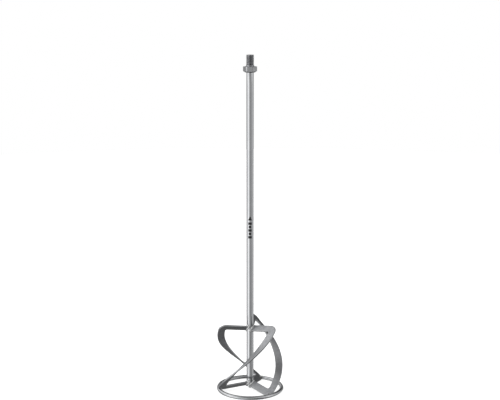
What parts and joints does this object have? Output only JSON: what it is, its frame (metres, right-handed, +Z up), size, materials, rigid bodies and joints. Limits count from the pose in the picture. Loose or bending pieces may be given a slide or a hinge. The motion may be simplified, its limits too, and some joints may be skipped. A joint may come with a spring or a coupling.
{
  "type": "drill paint mixer",
  "caption": "Steel mixing paddle for a hand mixer: threaded stud and hexagon on a long tube, twisted flat-bar blades welded to it and to a round base ring.",
  "frame": {"origin": "centre of the base ring's underside, on the tube's axis", "axes": "+Z up the tube towards the threaded stud; a flat of the hexagon faces -Y, the side of the picture's camera"},
  "size_m": [0.12, 0.12, 0.6],
  "materials": {
    "tube_steel": "drawn steel tube, bright zinc plated",
    "blade_steel": "cut flat bar, dull zinc plated",
    "ring_steel": "bent round rod, zinc plated",
    "adapter_steel": "turned steel, dark",
    "weld_metal": "rippled weld bead, plated over"
  },
  "bodies": {
    "root": {"shaft_tube": "tube_steel", "threaded_hex_adapter": "adapter_steel", "tube_end_cap": "weld_metal", "base_ring": "ring_steel", "blade_a": "blade_steel", "blade_b": "blade_steel", "blade_c": "blade_steel", "weld_top_a": "weld_metal", "weld_top_b": "weld_metal", "weld_top_c": "weld_metal", "weld_foot_a": "weld_metal", "weld_foot_b": "weld_metal", "weld_foot_c": "weld_metal", "weld_ring_a": "weld_metal", "weld_ring_b": "weld_metal", "weld_ring_c": "weld_metal"}
  },
  "joints": []
}
